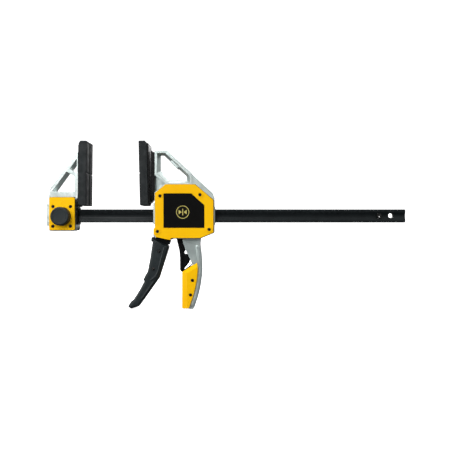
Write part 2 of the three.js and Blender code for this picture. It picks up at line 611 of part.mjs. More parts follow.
function releaseTrigger() {
  const { x, z, r, eye } = RELEASE_PIVOT;
  const blade = outline(onBody([
    [29.9, -23.5], [30.1, -31.7], [31.8, -38.9], [34.5, -50.4, 12], [35.2, -60.5, 20], [35.2, -77, 1.5],
    [36.8, -80.2, 1.6], [39.6, -80.6, 1.4], [41.9, -75.3], [47.6, -68.4, 2], [49.8, -63.4, 2], [48.1, -57.6, 2],
    [46.2, -54.7, 0.8], [41.9, -54.7, 0.8], [41.2, -51.9, 0.8], [42.9, -49.7, 0.8], [41.9, -44.7, 6], [38.3, -35.3, 4],
    [40.4, -31.5], [46, -25], [48.2, -18], [42, -14.6], [40.6, -19], [39.3, -30], [31.7, -30], [31.7, -23.5],
  ]));
  const tail = outline(onBody([
    [38.6, -80.5], [42.8, -78.3, 3], [50, -73, 3], [53, -69.4, 0.4], [52, -68.8, 0.4], [49, -71.9, 3], [42, -76.9, 3],
    [38.6, -78],
  ]));
  return cut(
    join(
      acrossY(blade, -triggerHalf, triggerHalf, 4),
      acrossY(tail, -4, 4, 4),
      rod(x, z, eye, -triggerHalf, triggerHalf, 20),
    ),
    rod(x, z, r + GAP, -9, 9, 16),
  );
}

add("release_trigger", blackPlastic, releaseTrigger());
add(
  "release_pivot_pin",
  steel,
  rod(RELEASE_PIVOT.x, RELEASE_PIVOT.z, RELEASE_PIVOT.r, -half + 0.4, half - 0.4, 16),
);

// ---- Drive and brake plates ---------------------------------------------------------------------
// A steel plate with a window for the bar and a tail below it, as a YZ shape.
function grippingPlate(halfWidth, top, tailHalf, bottom, clearance) {
  const shape = outline([
    [-halfWidth, -12], [-tailHalf, -12], [-tailHalf, bottom, 1], [tailHalf, bottom, 1], [tailHalf, -12],
    [halfWidth, -12], [halfWidth, top, 2], [-halfWidth, top, 2],
  ]);
  const window = rectangle(-halfBar - clearance, halfBar + clearance, -halfHeight - clearance, halfHeight + clearance);
  shape.holes.push(window);
  return shape;
}

[1, 2].forEach((n) => {
  const x = BODY_X + 10.7 + 3.3 * n;
  add(`drive_plate_${n}`, steel, alongX(grippingPlate(11, 18, 5, -26.4, 0.4), x, x + 3));
});
add("drive_spring", steel, coil(new THREE.Vector3(BODY_X + 21.6, 0, 0), "x", 11.6, 0.7, 2.9, 2.5));

// The brake plates stand at a slant, which is what jams them on the bar. They lean on the ledge at their top.
const brakeLedge = new THREE.Vector3(BODY_X + 34, 0, 19);
[1, 2].forEach((n) => {
  const x = BODY_X + 31.1 + 3.1 * n;
  add(`brake_plate_${n}`, steel, alongX(grippingPlate(11, 20, 5, -28.4, 0.9), x, x + 2.8), BRAKE_TILT, brakeLedge);
});
add("brake_spring", steel, coil(new THREE.Vector3(BODY_X + 41.3, 0, 0), "x", 11.6, 0.7, 3.1, 4));

export default clamp;
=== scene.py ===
"""Looks of the one-handed bar clamp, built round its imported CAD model.

Lengths are in metres in the camera, light and floor, and in millimetres in the outlines and sizes of the pieces.
The bar runs along X, the jaws point up along Z and the front faces -Y.
"""
import json
import math

import bmesh
import bpy
import numpy as np
from mathutils import Matrix, Vector
from mathutils.geometry import delaunay_2d_cdt


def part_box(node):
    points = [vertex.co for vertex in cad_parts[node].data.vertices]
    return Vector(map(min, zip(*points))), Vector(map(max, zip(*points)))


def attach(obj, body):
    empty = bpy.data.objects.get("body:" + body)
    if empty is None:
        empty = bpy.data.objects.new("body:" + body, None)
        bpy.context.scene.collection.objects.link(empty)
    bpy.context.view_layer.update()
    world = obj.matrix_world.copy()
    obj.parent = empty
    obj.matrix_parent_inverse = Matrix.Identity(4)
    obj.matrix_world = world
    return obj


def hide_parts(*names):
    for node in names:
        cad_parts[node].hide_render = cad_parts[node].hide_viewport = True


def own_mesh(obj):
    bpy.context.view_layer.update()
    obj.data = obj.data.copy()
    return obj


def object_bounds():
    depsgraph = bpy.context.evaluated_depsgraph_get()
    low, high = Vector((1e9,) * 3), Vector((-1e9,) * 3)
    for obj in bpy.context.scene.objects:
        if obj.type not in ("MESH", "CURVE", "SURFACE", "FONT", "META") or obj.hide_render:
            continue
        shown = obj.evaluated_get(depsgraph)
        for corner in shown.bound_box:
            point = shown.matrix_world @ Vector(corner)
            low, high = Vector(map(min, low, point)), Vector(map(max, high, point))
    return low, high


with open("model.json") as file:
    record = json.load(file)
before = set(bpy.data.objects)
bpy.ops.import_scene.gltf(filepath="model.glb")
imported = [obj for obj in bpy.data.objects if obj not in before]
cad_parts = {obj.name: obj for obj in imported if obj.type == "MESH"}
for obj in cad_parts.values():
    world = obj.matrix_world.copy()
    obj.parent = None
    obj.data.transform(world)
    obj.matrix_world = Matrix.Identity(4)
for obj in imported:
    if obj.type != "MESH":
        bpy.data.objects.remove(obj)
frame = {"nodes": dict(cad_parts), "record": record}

cad_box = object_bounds()
scene = bpy.context.scene
nodes = frame["nodes"]

MM = 0.001
FAR = 30  # a distance in mm past every surface along Y
BODY_X = 155.2  # left face of the housing
FIXED_FACE, MOVING_FACE, PAD_MIDDLE = 59.2, 133.6, 60.6  # gripping faces along X and their mid height
FIXED_TILT, MOVING_TILT = math.radians(0.6), math.radians(-1.3)

# ---- Camera, light and stage --------------------------------------------------------------------
camera_data = bpy.data.cameras.new("camera")
camera_data.lens, camera_data.sensor_width = 45, 36
camera_data.clip_start, camera_data.clip_end = 0.01, 20
camera = bpy.data.objects.new("camera", camera_data)
camera.location = (0.2553, -0.815, -0.01305)  # level, and square to the clamp's front
camera.rotation_euler = (math.radians(90), 0, 0)
scene.collection.objects.link(camera)
scene.camera = camera

scene.view_settings.view_transform = "Standard"
world = bpy.data.worlds.new("studio")
world.use_nodes = True
scene.world = world


SKY_STOPS = ((0.2, 0.07), (0.5, 0.22), (1, 1))  # (height from straight down to straight up, brightness)


def sky():
    """Light that is strongest from above and weakest from below."""
    tree = world.node_tree
    split = tree.nodes.new("ShaderNodeSeparateXYZ")
    height = tree.nodes.new("ShaderNodeMapRange")
    ramp = tree.nodes.new("ShaderNodeValToRGB")
    height.inputs["From Min"].default_value = -1
    tree.links.new(tree.nodes.new("ShaderNodeTexCoord").outputs["Generated"], split.inputs[0])
    tree.links.new(split.outputs["Z"], height.inputs["Value"])
    tree.links.new(height.outputs[0], ramp.inputs["Fac"])
    tree.links.new(ramp.outputs["Color"], tree.nodes["Background"].inputs["Color"])
    ramp.color_ramp.elements.new(SKY_STOPS[1][0])
    for stop, (place, shade) in zip(ramp.color_ramp.elements, SKY_STOPS):
        stop.position, stop.color = place, (shade, shade, min(shade * 1.02, 1), 1)


sky()


def area_light(name, location, target, size, power):
    """A rectangular light of a width and height in metres and a power in watts, turned to its target."""
    data = bpy.data.lights.new(name, "AREA")
    data.shape, data.size, data.size_y, data.energy = "RECTANGLE", size[0], size[1], power
    light = bpy.data.objects.new(name, data)
    light.location = location
    light.rotation_euler = (Vector(target) - Vector(location)).to_track_quat("-Z", "Y").to_euler()
    scene.collection.objects.link(light)


area_light("key", (-0.3, -1.05, 0.68), (0.2, 0, 0), (0.8, 0.8), 11)
area_light("fill", (1.1, -0.8, 0.4), (0.3, 0, 0), (0.8, 0.8), 1.6)
area_light("left", (-0.75, -0.42, 0.12), (0.12, 0, -0.02), (0.45, 0.45), 3.6)
area_light("back", (0.4, 1.1, 0.55), (0.25, 0, 0), (1.1, 0.6), 7)


def linked(name, mesh):
    piece = bpy.data.objects.new(name, mesh)
    scene.collection.objects.link(piece)
    return piece


def circle(a, b, radius, sides=32):
    """Points round a circle about (a, b)."""
    turns = [2 * math.pi * k / sides for k in range(sides)]
    return [(a + radius * math.cos(t), b + radius * math.sin(t)) for t in turns]


# Centre along X, radius of the flat part and radius of the bend into the wall.
FLOOR_MIDDLE, FLOOR_FLAT, FLOOR_BEND = 0.25, 2.2, 1.0


def stage_floor():
    """A pale round floor under the clamp that curves up into a wall all round it."""
    low = cad_box[0][2] - 0.0004
    profile = [(0.6, low), (FLOOR_FLAT, low)]
    for a in (math.radians(9 * i) for i in range(1, 10)):
        profile.append((FLOOR_FLAT + FLOOR_BEND * math.sin(a), low + FLOOR_BEND * (1 - math.cos(a))))
    profile += [(FLOOR_FLAT + FLOOR_BEND, low + 5), (FLOOR_FLAT + 0.2, low + 6.5)]
    bm = bmesh.new()
    sides = 64
    rings = []
    for radius, z in profile:
        rings.append([bm.verts.new((x, y, z)) for x, y in circle(FLOOR_MIDDLE, 0, radius, sides)])
    bm.faces.new(rings[0])
    for lower, upper in zip(rings, rings[1:]):
        for k in range(sides):
            bm.faces.new((lower[k], lower[k - 1], upper[k - 1], upper[k]))
    mesh = bpy.data.meshes.new("floor")
    bm.to_mesh(mesh)
    bm.free()
    mesh.polygons.foreach_set("use_smooth", [True] * len(mesh.polygons))
    floor = linked("floor", mesh)
    paint = bpy.data.materials.new("floor_paper")
    paint.use_nodes = True
    shader = paint.node_tree.nodes["Principled BSDF"]
    shader.inputs["Base Color"].default_value = (0.93, 0.93, 0.93, 1)
    shader.inputs["Roughness"].default_value = 0.9
    shader.inputs["Emission Color"].default_value = (1, 1, 1, 1)
    shader.inputs["Emission Strength"].default_value = 0.85
    mesh.materials.append(paint)
    # The sky lights the clamp, not the paper.
    floor.visible_diffuse = floor.visible_glossy = floor.visible_shadow = False


stage_floor()


# ---- Materials ----------------------------------------------------------------------------------
class Nodes:
    """Short calls for building one material's node tree. Noise scales are per metre, bump distances in metres."""

    def __init__(self, name, gloss=0.28):
        self.material = bpy.data.materials.new(name)
        self.material.use_nodes = True
        self.tree = self.material.node_tree
        self.shader = self.tree.nodes["Principled BSDF"]
        self.shader.inputs["Specular IOR Level"].default_value = gloss
        self.space = self.tree.nodes.new("ShaderNodeTexCoord").outputs["Object"]

    def noise(self, scale, detail=3, stretch=(1, 1, 1)):
        mapping = self.tree.nodes.new("ShaderNodeMapping")
        mapping.inputs["Scale"].default_value = stretch
        self.tree.links.new(self.space, mapping.inputs["Vector"])
        noise = self.tree.nodes.new("ShaderNodeTexNoise")
        noise.inputs["Scale"].default_value = scale
        noise.inputs["Detail"].default_value = detail
        self.tree.links.new(mapping.outputs[0], noise.inputs["Vector"])
        return noise.outputs["Fac"]

    def spread(self, value, low, high, start=0.35, end=0.65):
        node = self.tree.nodes.new("ShaderNodeMapRange")
        for key, number in (("From Min", start), ("From Max", end), ("To Min", low), ("To Max", high)):
            node.inputs[key].default_value = number
        self.tree.links.new(value, node.inputs["Value"])
        return node.outputs[0]

    def mix(self, factor, first, second):
        node = self.tree.nodes.new("ShaderNodeMix")
        node.data_type = "RGBA"
        self.tree.links.new(factor, node.inputs["Factor"])
        for socket, colour in ((node.inputs["A"], first), (node.inputs["B"], second)):
            if isinstance(colour, tuple):
                socket.default_value = (*colour, 1)
            else:
                self.tree.links.new(colour, socket)
        return node.outputs["Result"]

    def times(self, first, second):
        node = self.tree.nodes.new("ShaderNodeMath")
        node.operation = "MULTIPLY"
        self.tree.links.new(first, node.inputs[0])
        self.tree.links.new(second, node.inputs[1])
        return node.outputs[0]

    def worn_edges(self):
        """High on sharp outer edges, broken up by noise."""
        sharp = self.tree.nodes.new("ShaderNodeNewGeometry").outputs["Pointiness"]
        broken = self.spread(self.noise(260), 0, 1, 0.4, 0.6)
        return self.times(self.spread(sharp, 0, 1, 0.53, 0.62), broken)

    def bump(self, height, strength, distance, below=None):
        node = self.tree.nodes.new("ShaderNodeBump")
        node.inputs["Strength"].default_value = strength
        node.inputs["Distance"].default_value = distance
        self.tree.links.new(height, node.inputs["Height"])
        if below:
            self.tree.links.new(below, node.inputs["Normal"])
        return node.outputs[0]

    def wire(self, **sockets):
        names = {"colour": "Base Color", "rough": "Roughness", "normal": "Normal", "metal": "Metallic"}
        for key, value in sockets.items():
            socket = self.shader.inputs[names.get(key, key)]
            if isinstance(value, (int, float)):
                socket.default_value = value
            else:
                self.tree.links.new(value, socket)
        return self.material


def cast_metal(name, light, dark, worn):
    """Painted die casting: cloudy colour, pits and a slow waviness."""
    n = Nodes(name)
    colour = n.mix(n.spread(n.noise(45), 0, 1), dark, light)
    colour = n.mix(n.worn_edges(), colour, worn)
    pits = n.bump(n.noise(900, 4), 0.18, 0.0004)
    return n.wire(colour=colour, rough=n.spread(n.noise(160), 0.3, 0.44), metal=0.82,
                  normal=n.bump(n.noise(70, 2), 0.12, 0.0015, pits))


def moulded(name, base, shade, rough, grain, gloss=0.28, coat=0.0):
    """Moulded plastic: a spark-eroded grain, slight colour drift and scuffed roughness."""
    n = Nodes(name, gloss)
    n.shader.inputs["Coat Weight"].default_value = coat
    n.shader.inputs["Coat Roughness"].default_value = 0.22
    colour = n.mix(n.spread(n.noise(30), 0, 1), shade, base)
    fine = n.bump(n.noise(1500, 2), grain, 0.0003)
    return n.wire(colour=colour, rough=n.spread(n.noise(190, 5), rough - 0.07, rough + 0.09),
                  normal=n.bump(n.noise(22, 1), 0.06, 0.002, fine))


def drawn_steel(name, base, shade, worn, rough, metal, stretch):
    """Steel with marks that run one way."""
    n = Nodes(name, 0.16)
    lines = n.noise(700, 3, stretch)
    colour = n.mix(n.spread(n.noise(60, 4), 0, 1), shade, base)
    colour = n.mix(n.worn_edges(), colour, worn)
    return n.wire(colour=colour, rough=n.spread(lines, rough - 0.08, rough + 0.12), metal=metal,
                  normal=n.bump(lines, 0.12, 0.0003))


def rubbery(name, base, dusty):
    """Matt rubber with dusty patches."""
    n = Nodes(name)
    colour = n.mix(n.spread(n.noise(90, 6), 0, 1, 0.45, 0.75), base, dusty)
    skin = n.bump(n.noise(1100, 3), 0.35, 0.0003)
    return n.wire(colour=colour, rough=n.spread(n.noise(140, 4), 0.55, 0.78),
                  normal=n.bump(n.noise(40, 2), 0.1, 0.001, skin))


silver = cast_metal("die_cast_silver", (0.62, 0.705, 0.685), (0.53, 0.61, 0.59), (0.8, 0.86, 0.845))
yellow = moulded("yellow_moulding", (1.0, 0.56, 0.001), (0.97, 0.515, 0.0005), 0.42, 0.16, 0.1, 0.03)
dark_grip = moulded("slate_moulding", (0.017, 0.0235, 0.0255), (0.012, 0.0175, 0.0195), 0.44, 0.3)
black = moulded("black_moulding", (0.004, 0.004, 0.0042), (0.0025, 0.0025, 0.0027), 0.3, 0.15, 0.16, 0.06)
panel_black = moulded("panel_black", (0.0028, 0.0026, 0.0022), (0.0018, 0.0018, 0.0018), 0.5, 0.2, 0.07)
badge_print = moulded("badge_print", (0.62, 0.55, 0.16), (0.5, 0.43, 0.11), 0.42, 0.1)
rubber = rubbery("pad_rubber", (0.0085, 0.0115, 0.0125), (0.018, 0.022, 0.023))
bar_steel = drawn_steel("blackened_bar", (0.0085, 0.0115, 0.0125), (0.006, 0.008, 0.009), (0.017, 0.021, 0.023),
                        0.38, 0.15, (0.03, 1, 1))
screw_steel = drawn_steel("blackened_screw", (0.02, 0.018, 0.018), (0.012, 0.011, 0.011), (0.16, 0.16, 0.16),
                          0.34, 0.7, (1, 0.3, 1))
bright_steel = drawn_steel("bright_steel", (0.55, 0.56, 0.57), (0.42, 0.43, 0.44), (0.8, 0.8, 0.8),
                           0.28, 1.0, (1, 0.4, 1))

by_slot = {
    "cast_silver": silver, "yellow_cover": yellow, "black_steel": bar_steel, "bright_steel": bright_steel,
    "pad_rubber": rubber, "dark_grip": dark_grip, "black_plastic": black,
}


# ---- Shared builders ----------------------------------------------------------------------------
def solid(name, bm):
    """A new object from a closed mesh, with its faces turned outward."""
    bmesh.ops.recalc_face_normals(bm, faces=bm.faces)
    if bm.calc_volume(signed=True) < 0:
        bmesh.ops.reverse_faces(bm, faces=bm.faces)
    mesh = bpy.data.meshes.new(name)
    bm.to_mesh(mesh)
    bm.free()
    return linked(name, mesh)


def modifier(piece, kind, **settings):
    made = piece.modifiers.new(kind.lower(), kind)
    for key, value in settings.items():
        setattr(made, key, value)


def soften(piece, width, segments=2, dissolve=False, angle=32):
    """Rounds the sharp edges by width, in metres, and evens the shading."""
    piece.data.polygons.foreach_set("use_smooth", [True] * len(piece.data.polygons))
    if dissolve:
        modifier(piece, "WELD", merge_threshold=2e-5)
        modifier(piece, "DECIMATE", decimate_type="DISSOLVE", angle_limit=math.radians(1))
    if width:
        modifier(piece, "BEVEL", width=width, segments=segments, limit_method="ANGLE",
                 angle_limit=math.radians(angle), harden_normals=True, use_clamp_overlap=True)
    modifier(piece, "WEIGHTED_NORMAL", weight=60, keep_sharp=False)


def paint(piece, material):
    piece.data.materials.clear()
    piece.data.materials.append(material)


def rounded(points, steps=5):
    """[x, z, radius] corners as a list of (x, z), each rounded corner as a short curve."""
    out = []
    count = len(points)
    for i, (x, z, *rest) in enumerate(points):
        corner = Vector((x, z))
        radius = rest[0] if rest else 0
        if not radius:
            out.append((x, z))
            continue
        back = (Vector(points[i - 1][:2]) - corner).normalized()
        ahead = (Vector(points[(i + 1) % count][:2]) - corner).normalized()
        reach = radius / math.tan(math.acos(max(-1, min(1, back.dot(ahead)))) / 2)
        start, end = corner + back * reach, corner + ahead * reach
        for k in range(steps + 1):
            t = k / steps
            p = start * (1 - t) ** 2 + corner * (2 * t * (1 - t)) + end * t ** 2
            out.append((p.x, p.y))
    return out


def on_body(points):
    return [(BODY_X + p[0], *p[1:]) for p in points]


def prism(name, points, y0, y1):
    """A solid with a closed outline of (x, z) points in mm, from y0 to y1."""
    bm = bmesh.new()
    low = [bm.verts.new(Vector((x, y0, z)) * MM) for x, z in points]
    high = [bm.verts.new(Vector((x, y1, z)) * MM) for x, z in points]
    bm.faces.new(low)
    bm.faces.new(high[::-1])
    for i in range(len(points)):
        j = (i + 1) % len(points)
        bm.faces.new((low[i], low[j], high[j], high[i]))
    return solid(name, bm)


def turn(piece, angle, pivot):
    """Turns the mesh about an axis along Y through pivot, in mm."""
    about = Vector(pivot) * MM
    turned = Matrix.Rotation(angle, 4, "Y")
    piece.data.transform(Matrix.Translation(about) @ turned @ Matrix.Translation(-about))


def shaped(piece, operation, *tools):
    """Joins the tools to the piece, or cuts them out of it, for good."""
    for tool in tools:
        modifier(piece, "BOOLEAN", object=tool, operation=operation, solver="EXACT")
        bpy.context.view_layer.update()
        shape = bpy.data.meshes.new_from_object(piece.evaluated_get(bpy.context.evaluated_depsgraph_get()))
        piece.modifiers.clear()
        piece.data = shape
        bpy.data.objects.remove(tool)
    return piece


def carve(piece, *tools):
    return shaped(piece, "DIFFERENCE", *tools)


def away(spots, path):
    """How far each spot is from an open line."""
    line = np.array(path)
    ahead = np.diff(line, axis=0)
    gap = spots[:, None] - line[:-1]
    along = np.clip((gap * ahead).sum(2) / (ahead ** 2).sum(1), 0, 1)
    return np.linalg.norm(gap - along[..., None] * ahead, axis=2).min(1)


def divided(points, spacing):
    """The points of a line with more between them, so that no step is longer than spacing."""
    out = []
    for a, b in zip(points, points[1:]):
        parts = max(1, math.ceil(math.dist(a, b) / spacing))
        out += [(a[0] + (b[0] - a[0]) * k / parts, a[1] + (b[1] - a[1]) * k / parts) for k in range(parts)]
    return out + [points[-1]]


def beside(path, offset, spacing=1.0):
    """Points along a line, moved offset to its left."""
    line = np.array(divided(path, spacing))
    run = np.gradient(line, axis=0)
    return line + offset * np.stack([-run[:, 1], run[:, 0]], 1) / np.linalg.norm(run, axis=1)[:, None]


def outset(points, by):
    """The corners of a closed outline moved outward by a distance in mm."""
    area = sum(a[0] * b[1] - a[1] * b[0] for a, b in zip(points, points[1:] + points[:1]))
    out = []
    for i, (x, z, *rest) in enumerate(points):
        before = (Vector((x, z)) - Vector(points[i - 1][:2])).normalized()
        after = (Vector(points[(i + 1) % len(points)][:2]) - Vector((x, z))).normalized()
        first, second = (Vector((v.y, -v.x)) * (1 if area > 0 else -1) for v in (before, after))
        reach = (first + second) * (by / (1 + first.dot(second)))
        out.append((x + reach.x, z + reach.y, *rest))
    return out


def smooth_curve(points, steps=4):
    """Points along a smooth curve through the given ones."""
    out = []
    for i in range(len(points) - 1):
        a, b, c, d = (Vector(points[min(max(i + k, 0), len(points) - 1)]) for k in (-1, 0, 1, 2))
        for t in (k / steps for k in range(steps)):
            p = b + 0.5 * t * ((c - a) + t * ((2 * a - 5 * b + 4 * c - d) + t * (3 * (b - c) + d - a)))
            out.append((p.x, p.y))
    return out + [tuple(points[-1])]


def relief(name, points, height, radius, drop, base=0, side=-1, axis="y", inner=0.15, insets=(), extra=(),
           spacing=1.7):
    """A closed piece over a closed outline (a, b) in mm, across an axis.

    Its outer face stands at base + side * height, less drop(spots, distance from the edge), and its edge is
    rounded by radius. Its inner face is flat, inner from base, or a mirror of the outer one where inner is None.
    The mesh has a point about every spacing, on lines at insets from the edge, and along the extra lines.
    """
    place = {"y": lambda a, b, c: (a, c, b), "x": lambda a, b, c: (c, a, b)}[axis]
    edge = np.array(divided(points + points[:1], spacing)[:-1])
    closed = np.vstack([edge, edge[:1]])
    ahead = np.diff(closed, axis=0)
    count = len(edge)
    area = (edge[:, 0] * ahead[:, 1] - edge[:, 1] * ahead[:, 0]).sum()
    run = np.roll(edge, -1, 0) - np.roll(edge, 1, 0)
    inward = np.sign(area) * np.stack([-run[:, 1], run[:, 0]], 1) / np.linalg.norm(run, axis=1)[:, None]

    def within(spots):
        a, b = spots[:, :1], spots[:, 1:]
        crosses = (edge[:, 1] > b) != (closed[1:, 1] > b)
        slope = ahead[:, 0] / np.where(np.abs(ahead[:, 1]) < 1e-9, 1e-9, ahead[:, 1])
        return (crosses & (a < edge[:, 0] + (b - edge[:, 1]) * slope)).sum(1) % 2 == 1

    def kept(spots, reach):
        return spots[within(spots) & (away(spots, closed) > reach)]

    rings = [radius * (1 - math.cos(math.radians(a))) for a in (25, 45, 65, 90)] + list(insets)
    low, high = edge.min(0), edge.max(0)
    columns, rows = np.meshgrid(np.arange(low[0], high[0], spacing),
                                np.arange(low[1], high[1], spacing * 0.87))
    columns[1::2] += spacing / 2
    cloud = [kept(edge + inward * r, 0.97 * r) for r in rings]
    cloud += [kept(np.stack([columns.ravel(), rows.ravel()], 1), max(rings) + 0.5 * spacing)]
    cloud = np.concatenate(cloud)
    cloud = cloud[np.sort(np.unique(np.round(cloud / 0.2), axis=0, return_index=True)[1])]
    marks = [kept(np.array(m, float), 0.1) for m in extra]
    spots = [Vector(p) for p in np.concatenate([edge, cloud, *marks])]
    found, _, faces, origin, _, _ = delaunay_2d_cdt(spots, [], [list(range(count))], 1, 1e-4)
    rim = [0] * count
    for i, sources in enumerate(origin):
        for j in sources:
            if j < count:
                rim[j] = i
    flat = np.array([tuple(v) for v in found])
    deep = away(flat, closed)
    deep[rim] = 0
    edge_round = np.sqrt(np.maximum(radius ** 2 - np.maximum(radius - deep, 0) ** 2, 0))
    cover = height - drop(flat, deep) - radius + edge_round
    bm = bmesh.new()
    outer = [bm.verts.new(Vector(place(a, b, base + side * c)) * MM) for (a, b), c in zip(flat, cover)]
    if inner is None:
        under = [bm.verts.new(Vector(place(a, b, base - side * c)) * MM) for (a, b), c in zip(flat, cover)]
    else:
        under = {i: bm.verts.new(Vector(place(*flat[i], base + side * inner)) * MM) for i in rim}
        bm.faces.new([under[i] for i in rim])
    for face in faces:
        bm.faces.new([outer[i] for i in face])
        if inner is None:
            bm.faces.new([under[i] for i in reversed(face)])
    for i, j in zip(rim, rim[1:] + rim[:1]):
        bm.faces.new((outer[i], outer[j], under[j], under[i]))
    return solid(name, bm)


def copied(name, node):
    """A new piece with a CAD node's shape, to be cut further."""
    mesh = nodes[node].data.copy()
    mesh.name = name
    piece = linked(name, mesh)
    modifier(piece, "WELD", merge_threshold=1e-5)
    return piece


def lathe(name, profile, centre, sides=48):
    """A turned piece: (radius, distance, flute depth) points in mm, spun about an axis along Y through centre."""
    bm = bmesh.new()
    rings = []
    for radius, along, *flute in profile:
        ring = []
        for k in range(sides if radius > 1e-6 else 1):
            a = 2 * math.pi * k / sides
            r = radius - (flute[0] if flute and k % 4 < 2 else 0)  # two sides of every four are fluted
            spot = Vector((r * math.cos(a), along, r * math.sin(a)))
            ring.append(bm.verts.new((spot + Vector(centre)) * MM))
        rings.append(ring)
    for first, second in zip(rings, rings[1:]):
        for k in range(sides):
            a, b = first[k % len(first)], first[(k + 1) % len(first)]
            c, d = second[(k + 1) % len(second)], second[k % len(second)]
            corners = list(dict.fromkeys((a, b, c, d)))
            if len(corners) > 2:
                bm.faces.new(corners)
    for ring in (rings[0], rings[-1]):
        if len(ring) > 1:
            bm.faces.new(ring)
    return solid(name, bm)


CLOSED_TURNS, CLOSED_RISE = 0.8, 0.06  # flat turns at each end of a coil, and the rise per length that they keep


def spring(name, centre, axis, length, radius, wire, turns):
    """A coil of round wire in mm, with a nearly closed turn at each end."""
    steps, sides = int(turns * 32), 10
    bm = bmesh.new()
    rings = []
    for i in range(steps + 1):
        t = i / steps
        eased = min(max((t * turns - CLOSED_TURNS) / (turns - 2 * CLOSED_TURNS), 0), 1)
        along = wire + (length - 2 * wire) * (CLOSED_RISE * t + (1 - CLOSED_RISE) * eased)
        angle = 2 * math.pi * turns * t
        out = Vector((math.cos(angle), math.sin(angle)))
        ring = []
        for k in range(sides):
            a = 2 * math.pi * k / sides
            u, v = out * (radius + wire * math.cos(a))
            w = along + wire * math.sin(a)
            spot = {"x": (w, u, v), "y": (u, w, v)}[axis]
            ring.append(bm.verts.new((Vector(spot) + Vector(centre)) * MM))
        rings.append(ring)
    for first, second in zip(rings, rings[1:]):
        for k in range(sides):
            bm.faces.new((first[k], first[(k + 1) % sides], second[(k + 1) % sides], second[k]))
    bm.faces.new(rings[0])
    bm.faces.new(rings[-1])
    return solid(name, bm)


def settle(piece, material, body, slot, *replaced):
    """Gives a new piece its material and its body, and hides the CAD nodes it stands in for. The slot is not used.
    """
    paint(piece, material)
    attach(piece, body)
    if replaced:
        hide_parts(*replaced)
    return piece


# ---- The carried-over CAD pieces -----------------------------------------------------------------
slot_of = {entry["node"]: entry["material_slot"] for entry in frame["record"]["subparts"]}
# Width of the rounded edges in mm, by the first of these words that a node's name holds.
EDGES = {
    "head_casting": 0.7, "body_casting": 0.7, "body_cover": 0.8, "head_cover": 0.8, "grip_panel": 0.9,
    "badge_panel": 0.2, "bar": 0.25, "pad": 0.5, "plate": 0.3, "guide": 0.3, "bush": 0.4, "pin": 0.3,
    "rivet": 0.2, "lever": 0.5,
}
SMALL_EDGE = 0.15
for name, piece in nodes.items():
    paint(piece, by_slot[slot_of[name]])
    width = next((size for key, size in EDGES.items() if key in name), SMALL_EDGE)
    soften(piece, width * MM, dissolve=True)
    if "screw" in name or "rivet" in name or name == "stop_pin":
        paint(piece, screw_steel)
    if "badge_panel" in name:
        paint(piece, panel_black)

# ---- Squeeze handle -------------------------------------------------------------------------------
GRIP_HALF, GRIP_EDGE = 12.0, 3.4
grip_outline = rounded(on_body([
    (-5.3, -30.6, 0.8), (-2.9, -30.2), (0.2, -33, 1), (18.6, -42.8, 1), (19.2, -45), (8.2, -80.2, 6),
    (5.1, -89.5, 8), (-15.6, -118.8), (-23.4, -129.6, 1.4), (-34.8, -133.2, 1), (-39.1, -129.8, 0.8),
    (-34.9, -123.1), (-32.8, -121.3, 1), (-30.6, -119.5), (-22, -105.9), (-15.6, -93.8), (-17, -91.6, 1),
    (-13.9, -84.5), (-11, -80.2), (-7, -60.2, 8), (-3.6, -37.6, 1), (-5.9, -35.6, 1),
]))
lever_room = on_body([
    (17, -28), (16.9, -46.1), (12.9, -56.1), (4.9, -84.2), (-4.8, -97.4), (-13, -97.4), (-8.4, -80),
    (-3.8, -60), (-0.4, -40), (-1, -33), (-1.5, -28),
])
LEVER_ROOM_HALF = 6.3
grip_rivets = on_body([(5.8, -50.6), (-2.5, -75.9)])
grip_lines = [
    on_body([(9.5, -40.6), (13.6, -44.4), (4.6, -78.4), (1.4, -86), (-5.2, -91.6)]),
    on_body([(-2.2, -94.4), (-9.4, -104.8), (-18.6, -118)]),
]
RECESS, RECESS_DEPTH, RIVET_BORE = 2.6, 1.2, 1.75
LINE_HALF, LINE_HEIGHT = 0.7, 0.75


def grip_drop(spots, deep):
    """A raised line along the grip, and a round recess at each rivet."""
    drop = np.full(len(spots), LINE_HEIGHT)
    for line in grip_lines:
        drop -= LINE_HEIGHT * np.clip(1.25 - away(spots, line) / LINE_HALF, 0, 1)
    for x, z in grip_rivets:
        sunk = np.hypot(spots[:, 0] - x, spots[:, 1] - z) < RECESS + 0.05
        drop = np.where(sunk, LINE_HEIGHT + RECESS_DEPTH, drop)
    return drop


for label, side in (("front", -1), ("back", 1)):
    marks = [beside(line, offset * LINE_HALF) for line in grip_lines for offset in (-1.3, -0.25, 0.25, 1.3)]
    marks += [circle(x, z, r, 28) for x, z in grip_rivets for r in (1, RECESS, RECESS + 0.12, RECESS + 0.8)]
    grip = relief(f"squeeze_grip_shell_{label}", grip_outline, GRIP_HALF, GRIP_EDGE, grip_drop,
                  side=side, extra=marks)
    tools = [prism("room", lever_room, *sorted((-side, side * LEVER_ROOM_HALF)))]
    tools += [prism("bore", circle(x, z, RIVET_BORE, 20), -GRIP_HALF - 1, GRIP_HALF + 1) for x, z in grip_rivets]
    carve(grip, *tools)
    soften(grip, 0.12 * MM, 1, angle=50)
    settle(grip, dark_grip, "squeeze_handle", "dark_grip", f"squeeze_grip_{label}")

# Domed rivets.
half_rivet = [(1.5, 11.1), (2.2, 11.12), (2.25, 11.35), (1.9, 11.65), (1.1, 11.78), (0, 11.8)]
for i, (x, z) in enumerate(grip_rivets):
    profile = [(r, -y) for r, y in reversed(half_rivet)] + half_rivet
    rivet = lathe(f"squeeze_rivet_domed_{i + 1}", profile, (x, 0, z), 28)
    soften(rivet, 0)
    settle(rivet, screw_steel, "squeeze_handle", "black_steel", f"squeeze_rivet_{i + 1}")

